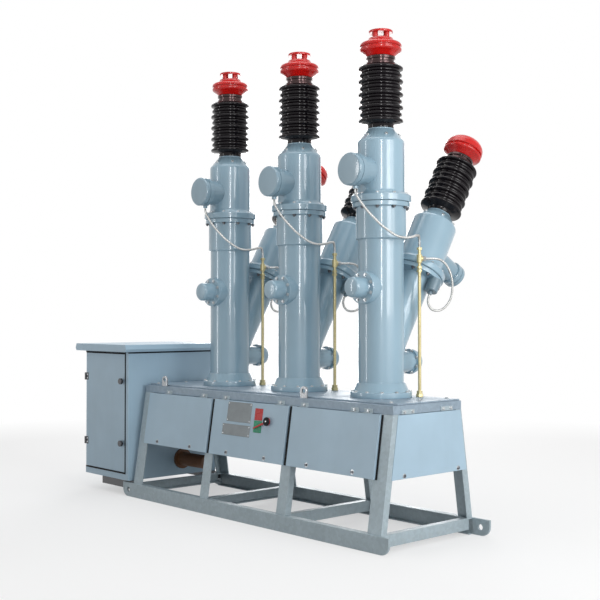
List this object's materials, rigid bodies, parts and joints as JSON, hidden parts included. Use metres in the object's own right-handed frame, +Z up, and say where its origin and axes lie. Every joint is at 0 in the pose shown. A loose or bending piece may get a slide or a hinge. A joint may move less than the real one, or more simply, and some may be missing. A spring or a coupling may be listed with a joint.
{
  "type": "gas insulated breaker",
  "caption": "Outdoor dead-tank gas circuit breaker: upright poles with tilted rear arms, shed bushings and red terminals on a skid frame, with a mechanism cabinet that opens.",
  "frame": {"origin": "ground level at the middle of the skid frame's anchor bolts", "axes": "+X along the row of poles away from the cabinet, -Y towards the front panels, +Z up"},
  "size_m": [3.309, 1.4735, 3.087],
  "materials": {
    "galvanised": "dull hot-dip galvanised",
    "tank_paint": "satin blue-grey paint",
    "panel_paint": "satin blue-grey paint on sheet",
    "shed_rubber": "semi-gloss black-brown insulator",
    "terminal_red": "gloss red",
    "bright_metal": "bright machined",
    "conduit_brass": "yellow passivated",
    "hose_steel": "corrugated flexible metal",
    "sign_red": "gloss red",
    "sign_green": "gloss green",
    "dark_steel": "dark painted steel",
    "coupling_brown": "brown primer"
  },
  "bodies": {
    "breaker": {"skid_rails": "galvanised", "skid_noses": "galvanised", "cross_rails": "galvanised", "front_legs": "galvanised", "rear_legs": "galvanised", "top_rails": "galvanised", "end_rails": "galvanised", "top_plate": "galvanised", "lifting_eyes": "bright_metal", "front_panels": "panel_paint", "rear_panels": "panel_paint", "end_panels": "panel_paint", "tank_bases": "tank_paint", "tank_left": "tank_paint", "tank_middle": "tank_paint", "tank_right": "tank_paint", "tank_necks": "tank_paint", "arm_left": "tank_paint", "arm_middle": "tank_paint", "arm_right": "tank_paint", "handhole_covers": "tank_paint", "rear_end_covers": "tank_paint", "front_housings": "tank_paint", "rear_housings": "tank_paint", "front_terminal_boxes": "tank_paint", "rear_terminal_boxes": "tank_paint", "front_bushings": "shed_rubber", "rear_bushings": "shed_rubber", "cap_collars": "bright_metal", "front_terminal_caps": "terminal_red", "rear_terminal_caps": "terminal_red", "terminal_posts": "terminal_red", "terminal_pads": "terminal_red", "junction_stubs": "tank_paint", "conduit_pipes": "conduit_brass", "front_hose_left": "hose_steel", "front_hose_middle": "hose_steel", "front_hose_right": "hose_steel", "rear_hose_left": "hose_steel", "rear_hose_middle": "hose_steel", "rear_hose_right": "hose_steel", "closed_sign": "sign_red", "open_sign": "sign_green", "cabinet_side_walls": "panel_paint", "cabinet_rear_wall": "panel_paint", "cabinet_floor": "panel_paint", "cabinet_roof": "panel_paint", "cabinet_front_frame": "panel_paint", "cabinet_hinges": "dark_steel", "cabinet_bearers": "dark_steel", "drive_coupling": "coupling_brown"},
    "door": {"cabinet_door": "panel_paint", "door_knobs": "dark_steel"},
    "pointer": {"position_pointer": "sign_red"}
  },
  "joints": [
    {"name": "door_hinge", "type": "hinge", "parent": "breaker", "child": "door", "pos_m": [-1.889, -0.398, 0.6115], "axis": [0, 0, -1], "range_deg": [0, 110]},
    {"name": "pointer_turn", "type": "hinge", "parent": "breaker", "child": "pointer", "pos_m": [0.201, -0.33616, 0.65111], "axis": [0, 0.9883, -0.1523], "range_deg": [0, 45]}
  ]
}
